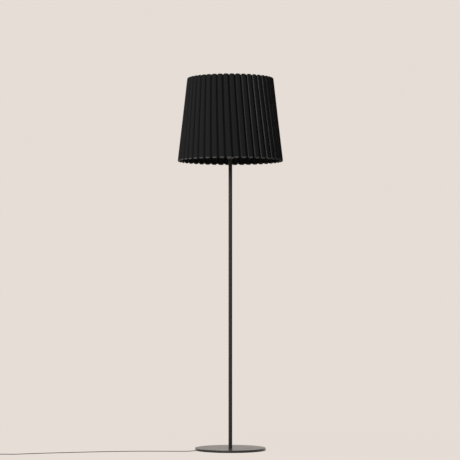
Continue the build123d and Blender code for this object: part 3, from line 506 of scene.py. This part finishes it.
coil_route += [
    coil_end,
    coil_end - switch_heading * 0.012,
    coil_end - switch_heading * 0.034 + to_floor,
    coil_end - switch_heading * 0.052 + to_floor,
    coil_end - switch_heading * 0.084 + to_plug_axis,
    coil_end - switch_heading * 0.098 + to_plug_axis,
]
coil_line = route_line("coil_route", coil_route)
spare_cord = dress(flat_cord("spare_cord_sheath", coil_line), sheath_material)
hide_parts("switch_lead", "cord_coil", "plug_lead")


# Base and pole: a steel plate with a satin black powder coat, which has the very fine orange
# peel of baked powder, and three tubes with a duller coat, screwed end to end. The rubber
# pads are stuck under the plate, and the grommet sits in its rim.
powder_coat = grained_material("black powder coat", (0.010, 0.010, 0.0099), 0.28, 0.0009, 0.000010)
soft_rubber = grained_material("black rubber", (0.018, 0.018, 0.018), 0.75, 0.0005, 0.00003)


def finish_node(name, material):
    """Gives a CAD node's own mesh its finished material."""
    for slot in nodes[name].material_slots:
        slot.material = material


finish_node("base_plate", powder_coat)
pole_coat = grained_material(
    "matt black coat",
    (0.014, 0.014, 0.0138),
    0.55,
    0.0009,
    0.000004,
    variation=0.06,
    finish={"Specular IOR Level": 0.18},
)
for name in ("pole_lower", "pole_middle", "pole_upper"):
    finish_node(name, pole_coat)
for name in ("base_feet", "rim_grommet"):
    finish_node(name, soft_rubber)


# Plated steel: the screws, hollow studs, nut and threaded rings that hold the base, the pole
# and the lampholder together, and the screws and the coil spring of the foot switch. The
# spring, which shortens as the button is pressed, gets a mesh of its own.
zinc_plate = grained_material(
    "zinc plate", (0.55, 0.56, 0.58), 0.34, 0.0008, 0.00001, finish={"Metallic": 1.0}
)
for name in (
    "base_screw",
    "cord_clamp_screws",
    "pole_inserts",
    "joint_nipples",
    "holder_nipple",
    "holder_nut",
    "switch_screws",
    "button_spring",
):
    finish_node(name, zinc_plate)
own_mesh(nodes["button_spring"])


# Moulded parts: the cord clamp, the lampholder's shells and ring, the foot switch and the
# plug, in black plastic with the fine spark finish of its mould. The cord inside the pole
# has the same sheath as the rest, round a brown and a blue core.
moulded_black = grained_material("moulded black", (0.020, 0.020, 0.021), 0.48, 0.0004, 0.00002)
for name in (
    "cord_clamp",
    "lampholder_cap",
    "lampholder_skirt",
    "shade_clamp_ring",
    "switch_lower_case",
    "switch_upper_case",
    "switch_button",
    "plug_body",
    "pin_sleeves",
):
    finish_node(name, moulded_black)
finish_node("inner_cord", sheath_material)
finish_node("live_wire", grained_material("brown core", (0.16, 0.07, 0.03), 0.45, 0.0005, 0.00001))
finish_node(
    "neutral_wire", grained_material("blue core", (0.03, 0.11, 0.40), 0.45, 0.0005, 0.00001)
)


# Inside of the lampholder: a pale insulating core that carries a nickelled screw shell and
# brass contacts. The bulb's cap and tip and the plug's pins are nickelled too, and the
# terminals of the foot switch are brass.
pale_ceramic = grained_material("pale ceramic", (0.78, 0.76, 0.70), 0.3, 0.001, 0.00002)
nickel = grained_material(
    "nickel plate", (0.66, 0.64, 0.60), 0.24, 0.001, 0.00001, finish={"Metallic": 1.0}
)
brass = grained_material(
    "bare brass", (0.72, 0.53, 0.24), 0.3, 0.001, 0.00001, finish={"Metallic": 1.0}
)
finish_node("lampholder_core", pale_ceramic)
for name in ("screw_shell", "bulb_cap", "bulb_tip", "plug_pins"):
    finish_node(name, nickel)
for name in ("centre_contact", "holder_terminals", "switch_terminals"):
    finish_node(name, brass)


# Bulb: a white plastic housing and an opal globe on a screwed cap, which a black glass
# insulator parts from its tip.
black_glass = grained_material("black glass", (0.02, 0.02, 0.025), 0.12, 0.002, 0.00001)
white_plastic = grained_material(
    "white plastic", (0.80, 0.80, 0.78), 0.32, 0.0008, 0.00001, variation=0.03
)
opal_globe = grained_material(
    "opal globe",
    (0.84, 0.84, 0.82),
    0.42,
    0.0008,
    0.00001,
    variation=0.02,
    finish={"Subsurface Weight": 0.25},
)
finish_node("bulb_insulator", black_glass)
finish_node("bulb_housing", white_plastic)
finish_node("bulb_globe", opal_globe)


# Frame of the shade: hoops, struts and arms of steel wire dipped in a dull black lacquer,
# welded where they touch, and the flat ring that drops over the lampholder.
wire_lacquer = grained_material(
    "dull black lacquer",
    (0.008, 0.008, 0.008),
    0.8,
    0.0009,
    0.00002,
    finish={"Specular IOR Level": 0.1},
)
for name in ("shade_bottom_ring", "shade_top_ring", "shade_struts", "fitter_arms", "fitter_ring"):
    finish_node(name, wire_lacquer)


# Cover of the shade: one strip of black cotton on a stiff backing, laid in 45 knife pleats
# whose free folds point left, and fixed to the hoops along its inner folds. A section
# through one pleat is swept up the cone, leaning a little, and repeated round it.
pleat_count = 45
pleat_start_angle = math.radians(-89.3)
pleat_twist = math.radians(5.0)
shade_bottom_height = 1.243
shade_top_height = 1.600
shade_bottom_radius = 0.226
shade_top_radius = 0.1845
pleat_depth = 0.0077
pleat_pitch = 0.02865
pleat_cloth_width = 0.0378
bottom_sag = -0.0070
top_sag = 0.0030
hem_roll = 0.0030
pleat_wander = 0.0005
wander_pleat_step = 7.3
wander_rise = 1.4
wander_noise_reach = 4
wander_none_drop = 0.0060
wander_full_drop = 0.0010
rows_near_hems = 0.155
merge_distance = 0.00002
cloth_thickness = 0.0008
cover_rows = 26
section_steps = 31
pleat_section_points = [
    (0.00070, 0.00770),
    (0.00320, 0.00770),
    (0.00460, 0.00620),
    (0.00400, 0.00360),
    (0.00360, 0.00120),
    (0.00620, 0.00000),
    (0.01050, -0.00020),
    (0.01450, -0.00020),
    (0.01880, 0.00000),
    (0.02160, 0.00100),
    (0.02360, 0.00360),
    (0.02540, 0.00640),
    (0.02700, 0.00770),
    (0.02935, 0.00770),
]
section_data = bpy.data.curves.new("pleat_section", "CURVE")
section_data.dimensions = "3D"
section_spline = section_data.splines.new("NURBS")
section_spline.points.add(len(pleat_section_points) - 1)
for point, (along, drop) in zip(section_spline.points, pleat_section_points):
    point.co = (along, drop, 0, 1)
section_spline.order_u = 3
section_spline.use_endpoint_u = True
section_spline.resolution_u = 6
pleat_section = add_object("pleat_section", section_data)

# The tree draws one pleat flat, with X along the cover, Y as the drop from the crest and Z
# from 0 at the bottom hem to 1 at the top. Its copies are then placed round the cone.
pleat_tree = bpy.data.node_groups.new("knife pleats", "GeometryNodeTree")
for socket_name, socket_type in (
    ("Section", "NodeSocketObject"),
    ("Cloth", "NodeSocketMaterial"),
    ("Pleats", "NodeSocketInt"),
    ("Rows", "NodeSocketInt"),
    ("Steps", "NodeSocketInt"),
    ("Start angle", "NodeSocketFloat"),
    ("Twist", "NodeSocketFloat"),
    ("Pitch", "NodeSocketFloat"),
    ("Cloth width", "NodeSocketFloat"),
    ("Depth", "NodeSocketFloat"),
    ("Bottom radius", "NodeSocketFloat"),
    ("Top radius", "NodeSocketFloat"),
    ("Bottom height", "NodeSocketFloat"),
    ("Top height", "NodeSocketFloat"),
    ("Bottom sag", "NodeSocketFloat"),
    ("Top sag", "NodeSocketFloat"),
    ("Hem roll", "NodeSocketFloat"),
    ("Wander", "NodeSocketFloat"),
):
    pleat_tree.interface.new_socket(socket_name, in_out="INPUT", socket_type=socket_type)
pleat_tree.interface.new_socket("Geometry", in_out="OUTPUT", socket_type="NodeSocketGeometry")
asked = add_node(pleat_tree, "NodeGroupInput").outputs
section_info = add_node(pleat_tree, "GeometryNodeObjectInfo", {"Object": asked["Section"]})
section_line = add_node(
    pleat_tree,
    "GeometryNodeResampleCurve",
    {"Curve": section_info.outputs["Geometry"], "Count": asked["Steps"]},
)
section_across = add_node(
    pleat_tree,
    "GeometryNodeStoreNamedAttribute",
    {
        "Geometry": section_line.outputs["Curve"],
        "Name": "across",
        "Value": add_node(pleat_tree, "GeometryNodeSplineParameter").outputs["Factor"],
    },
    data_type="FLOAT",
    domain="POINT",
)
section_upright = add_node(
    pleat_tree, "GeometryNodeSetCurveNormal", {"Curve": section_across.outputs[0]}, mode="Z_UP"
)
rise = add_node(
    pleat_tree, "GeometryNodeCurvePrimitiveLine", {"Start": (0, 0, 0), "End": (0, -1, 0)}
)
rise_rows = add_node(
    pleat_tree, "GeometryNodeResampleCurve", {"Curve": rise.outputs[0], "Count": asked["Rows"]}
)
one_pleat = add_node(
    pleat_tree,
    "GeometryNodeCurveToMesh",
    {"Curve": section_upright.outputs[0], "Profile Curve": rise_rows.outputs[0]},
)
pleat_places = add_node(pleat_tree, "GeometryNodePoints", {"Count": asked["Pleats"]})
numbered_places = add_node(
    pleat_tree,
    "GeometryNodeStoreNamedAttribute",
    {
        "Geometry": pleat_places.outputs[0],
        "Name": "pleat",
        "Value": add_node(pleat_tree, "GeometryNodeInputIndex").outputs[0],
    },
    data_type="FLOAT",
    domain="POINT",
)
pleats = add_node(
    pleat_tree,
    "GeometryNodeInstanceOnPoints",
    {"Points": numbered_places.outputs[0], "Instance": one_pleat.outputs[0]},
)
real_pleats = add_node(pleat_tree, "GeometryNodeRealizeInstances", {"Geometry": pleats.outputs[0]})
place = add_node(
    pleat_tree,
    "ShaderNodeSeparateXYZ",
    {0: add_node(pleat_tree, "GeometryNodeInputPosition").outputs[0]},
).outputs
pleat_number = add_node(
    pleat_tree, "GeometryNodeInputNamedAttribute", {"Name": "pleat"}, data_type="FLOAT"
).outputs["Attribute"]
row_wave = maths(pleat_tree, "SINE", maths(pleat_tree, "MULTIPLY", place["Z"], math.tau))
up_share = maths(pleat_tree, "MULTIPLY_ADD", row_wave, -rows_near_hems, place["Z"])


def between(low, high):
    """A value that goes from one to another up the cover."""
    return add_node(
        pleat_tree, "ShaderNodeMix", {0: up_share, 2: low, 3: high}, data_type="FLOAT"
    ).outputs[0]


cover_height = maths(pleat_tree, "SUBTRACT", asked["Top height"], asked["Bottom height"])
from_rim = maths(
    pleat_tree,
    "MULTIPLY",
    maths(pleat_tree, "MINIMUM", up_share, maths(pleat_tree, "SUBTRACT", 1, up_share)),
    cover_height,
)
rim_distance = maths(pleat_tree, "DIVIDE", from_rim, asked["Hem roll"])
roll_share = add_node(
    pleat_tree, "ShaderNodeClamp", {"Value": maths(pleat_tree, "SUBTRACT", 1, rim_distance)}
).outputs[0]
roll_cosine = maths(
    pleat_tree,
    "SQRT",
    maths(pleat_tree, "SUBTRACT", 1, maths(pleat_tree, "MULTIPLY", roll_share, roll_share)),
)
rim_inset = maths(
    pleat_tree, "MULTIPLY", asked["Hem roll"], maths(pleat_tree, "SUBTRACT", 1, roll_cosine)
)
wander_place = add_node(
    pleat_tree,
    "ShaderNodeCombineXYZ",
    {
        0: maths(pleat_tree, "MULTIPLY", pleat_number, wander_pleat_step),
        1: maths(pleat_tree, "MULTIPLY", up_share, wander_rise),
    },
)
wander_noise = add_node(
    pleat_tree, "ShaderNodeTexNoise", {"Vector": wander_place.outputs[0], "Scale": 1, "Detail": 1}
).outputs["Fac"]
outside_seam = add_node(
    pleat_tree,
    "ShaderNodeMapRange",
    {
        "Value": place["Y"],
        "From Min": wander_none_drop,
        "From Max": wander_full_drop,
        "To Min": 0,
        "To Max": 1,
    },
).outputs["Result"]
wander_share = maths(
    pleat_tree, "MULTIPLY", outside_seam, maths(pleat_tree, "SUBTRACT", wander_noise, 0.5)
)
wander_reach = maths(pleat_tree, "MULTIPLY", asked["Wander"], wander_noise_reach)
wander = maths(pleat_tree, "MULTIPLY", wander_share, wander_reach)
pleat_position = maths(
    pleat_tree,
    "ADD",
    pleat_number,
    maths(pleat_tree, "DIVIDE", maths(pleat_tree, "ADD", place["X"], wander), asked["Pitch"]),
)
turned_start = maths(
    pleat_tree,
    "MULTIPLY_ADD",
    asked["Twist"],
    maths(pleat_tree, "SUBTRACT", 0.5, up_share),
    asked["Start angle"],
)
pleat_angle = maths(
    pleat_tree,
    "MULTIPLY_ADD",
    pleat_position,
    maths(pleat_tree, "DIVIDE", math.tau, asked["Pleats"]),
    turned_start,
)
pleat_radius = maths(
    pleat_tree,
    "SUBTRACT",
    between(asked["Bottom radius"], asked["Top radius"]),
    maths(pleat_tree, "ADD", place["Y"], rim_inset),
)
drop_share = maths(pleat_tree, "DIVIDE", place["Y"], asked["Depth"])
pleat_sag = maths(pleat_tree, "MULTIPLY", drop_share, between(asked["Bottom sag"], asked["Top sag"]))
pleat_height = maths(
    pleat_tree, "SUBTRACT", between(asked["Bottom height"], asked["Top height"]), pleat_sag
)
round_place = add_node(
    pleat_tree,
    "ShaderNodeCombineXYZ",
    {
        0: maths(pleat_tree, "MULTIPLY", pleat_radius, maths(pleat_tree, "COSINE", pleat_angle)),
        1: maths(pleat_tree, "MULTIPLY", pleat_radius, maths(pleat_tree, "SINE", pleat_angle)),
        2: pleat_height,
    },
)
cloth_across = add_node(
    pleat_tree, "GeometryNodeInputNamedAttribute", {"Name": "across"}, data_type="FLOAT"
).outputs["Attribute"]
cloth_place = add_node(
    pleat_tree,
    "ShaderNodeCombineXYZ",
    {
        0: maths(
            pleat_tree,
            "MULTIPLY",
            maths(pleat_tree, "ADD", pleat_number, cloth_across),
            asked["Cloth width"],
        ),
        1: maths(pleat_tree, "MULTIPLY", up_share, cover_height),
    },
)
mapped_pleats = add_node(
    pleat_tree,
    "GeometryNodeStoreNamedAttribute",
    {"Geometry": real_pleats.outputs[0], "Name": "UVMap", "Value": cloth_place.outputs[0]},
    data_type="FLOAT2",
    domain="CORNER",
)
round_pleats = add_node(
    pleat_tree,
    "GeometryNodeSetPosition",
    {"Geometry": mapped_pleats.outputs[0], "Position": round_place.outputs[0]},
)
joined_pleats = add_node(
    pleat_tree,
    "GeometryNodeMergeByDistance",
    {"Geometry": round_pleats.outputs[0], "Distance": merge_distance},
)
smooth_pleats = add_node(
    pleat_tree, "GeometryNodeSetShadeSmooth", {"Geometry": joined_pleats.outputs[0]}
)
cloth_pleats = add_node(
    pleat_tree,
    "GeometryNodeSetMaterial",
    {"Geometry": smooth_pleats.outputs[0], "Material": asked["Cloth"]},
)
add_node(pleat_tree, "NodeGroupOutput", {"Geometry": cloth_pleats.outputs[0]})

# Black cotton: a fine plain weave, drawn darker deep in the folds as painted shade, and paler
# along the free folds and at the lower hem of the crests as painted highlights. Places across
# a pleat are shares of its cloth, from 0 at one inner fold to 1 at the next.
cotton_color = (0.0096, 0.0098, 0.0101, 1)
# Painted shade: the colour drawn deep in the folds.
fold_shade_color = (0.0052, 0.0053, 0.0055, 1)
# Painted highlight: the paler colour drawn along the free folds and the crests' lower hem.
highlight_paint_color = (0.0800, 0.0810, 0.0820, 1)
thread_pitch = 0.00045
thread_height = 0.00004
hem_width = 0.0070
# Shares across a pleat: the painted highlight of the free folds, the crest, and where the painted
# shade of the inner folds starts and is full.
highlight_stripe_shares = (0.08, 0.13, 0.20, 0.25)
crest_stripe = (0.24, 0.36, 0.64, 0.76)
left_fold_shade = (0.15, 0.03)
right_fold_shade = (0.72, 0.86)
cotton_mottle_scale = 90
# Painted highlight: its least share of the paler colour, and how much the mottle adds.
highlight_least = 0.6
highlight_spread = 0.5
thread_shade = 0.35
mottle_shade = 0.3
least_shade = 0.68
least_cotton_roughness = 0.84
cotton_roughness_spread = 0.12
black_cotton = bpy.data.materials.new("black cotton")
black_cotton.use_nodes = True
cotton_tree = black_cotton.node_tree
cotton_tree.nodes.clear()
cotton_uv = add_node(cotton_tree, "ShaderNodeTexCoord").outputs["UV"]
cotton_place = add_node(cotton_tree, "ShaderNodeSeparateXYZ", {0: cotton_uv}).outputs
across_pleat = maths(
    cotton_tree, "FRACT", maths(cotton_tree, "DIVIDE", cotton_place["X"], pleat_cloth_width)
)


def cotton_band(value, edge_in, edge_out):
    """0 at one edge of a band of the cloth and 1 at the other, eased between them."""
    return add_node(
        cotton_tree,
        "ShaderNodeMapRange",
        {"Value": value, "From Min": edge_in, "From Max": edge_out, "To Min": 0, "To Max": 1},
        interpolation_type="SMOOTHSTEP",
    ).outputs["Result"]


def cotton_stripe(start, full, fading, end):
    """A stripe across each pleat: 1 in its middle, eased to 0 at its two sides."""
    return maths(
        cotton_tree,
        "MULTIPLY",
        cotton_band(across_pleat, start, full),
        cotton_band(across_pleat, end, fading),
    )


# Painted highlights along the free folds and at the lower hem of the crests.
free_fold_highlight = cotton_stripe(*highlight_stripe_shares)
crest_share = cotton_stripe(*crest_stripe)
hem_highlight = maths(cotton_tree, "MULTIPLY", cotton_band(cotton_place["Y"], hem_width, 0), crest_share)
cotton_mottle = add_node(
    cotton_tree, "ShaderNodeTexNoise", {"Vector": cotton_uv, "Scale": cotton_mottle_scale, "Detail": 3}
).outputs["Fac"]
painted_highlight = maths(cotton_tree, "MAXIMUM", free_fold_highlight, hem_highlight)
highlight_share = maths(cotton_tree, "MULTIPLY_ADD", cotton_mottle, highlight_spread, highlight_least)
highlight_strength = maths(cotton_tree, "MULTIPLY", painted_highlight, highlight_share)
# Painted shade: the cloth drawn darker towards the inner folds on both sides of a pleat.
painted_fold_shade = maths(
    cotton_tree,
    "MAXIMUM",
    cotton_band(across_pleat, *left_fold_shade),
    cotton_band(across_pleat, *right_fold_shade),
)
fold_shaded_cotton = add_node(
    cotton_tree,
    "ShaderNodeMix",
    {0: painted_fold_shade, 6: cotton_color, 7: fold_shade_color},
    data_type="RGBA",
).outputs[2]
# The painted highlights laid over the cloth.
highlighted_cotton = add_node(
    cotton_tree,
    "ShaderNodeMix",
    {0: highlight_strength, 6: fold_shaded_cotton, 7: highlight_paint_color},
    data_type="RGBA",
).outputs[2]
thread_turns = math.tau / thread_pitch
warp_turn = maths(cotton_tree, "MULTIPLY", cotton_place["X"], thread_turns)
weft_turn = maths(cotton_tree, "MULTIPLY", cotton_place["Y"], thread_turns)
crossing = maths(
    cotton_tree,
    "MULTIPLY",
    maths(cotton_tree, "SINE", warp_turn),
    maths(cotton_tree, "SINE", weft_turn),
)
weave = maths(cotton_tree, "MULTIPLY_ADD", crossing, 0.5, 0.5)
mottled_shade = maths(cotton_tree, "MULTIPLY_ADD", cotton_mottle, mottle_shade, least_shade)
weave_shade = maths(cotton_tree, "MULTIPLY_ADD", weave, thread_shade, mottled_shade)
woven_cotton = add_node(
    cotton_tree,
    "ShaderNodeVectorMath",
    {0: highlighted_cotton, "Scale": weave_shade},
    operation="SCALE",
).outputs["Vector"]
cotton_roughness = maths(
    cotton_tree, "MULTIPLY_ADD", cotton_mottle, cotton_roughness_spread, least_cotton_roughness
)
thread_bump = add_node(
    cotton_tree, "ShaderNodeBump", {"Height": weave, "Distance": thread_height, "Strength": 1}
)
cotton_shader = add_node(
    cotton_tree,
    "ShaderNodeBsdfPrincipled",
    {
        "Base Color": woven_cotton,
        "Roughness": cotton_roughness,
        "Normal": thread_bump.outputs[0],
        "Specular IOR Level": 0.02,
    },
)
add_node(cotton_tree, "ShaderNodeOutputMaterial", {"Surface": cotton_shader.outputs[0]})


def pleated_cloth(name, **sizes):
    """A run of pleats made by the tree with its own sizes, as a plain mesh."""
    maker = add_object(name, bpy.data.meshes.new(name))
    modifier = maker.modifiers.new("pleats", "NODES")
    modifier.node_group = pleat_tree
    for socket in pleat_tree.interface.items_tree:
        if socket.in_out == "INPUT" and socket.name in sizes:
            modifier[socket.identifier] = sizes[socket.name]
    evaluated = maker.evaluated_get(bpy.context.evaluated_depsgraph_get())
    mesh = bpy.data.meshes.new_from_object(evaluated)
    maker.modifiers.remove(modifier)
    maker.data = mesh
    return maker


shade_cloth = pleated_cloth(
    "shade_cloth",
    **{
        "Section": pleat_section,
        "Cloth": black_cotton,
        "Pleats": pleat_count,
        "Rows": cover_rows,
        "Steps": section_steps,
        "Start angle": pleat_start_angle,
        "Twist": pleat_twist,
        "Pitch": pleat_pitch,
        "Cloth width": pleat_cloth_width,
        "Depth": pleat_depth,
        "Bottom radius": shade_bottom_radius,
        "Top radius": shade_top_radius,
        "Bottom height": shade_bottom_height,
        "Top height": shade_top_height,
        "Bottom sag": bottom_sag,
        "Top sag": top_sag,
        "Hem roll": hem_roll,
        "Wander": pleat_wander,
    },
)
cloth_wall = shade_cloth.modifiers.new("cloth thickness", "SOLIDIFY")
cloth_wall.thickness = cloth_thickness
cloth_wall.offset = -1
bpy.data.objects.remove(pleat_section)
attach(shade_cloth, "shade")
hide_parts("shade_cover")
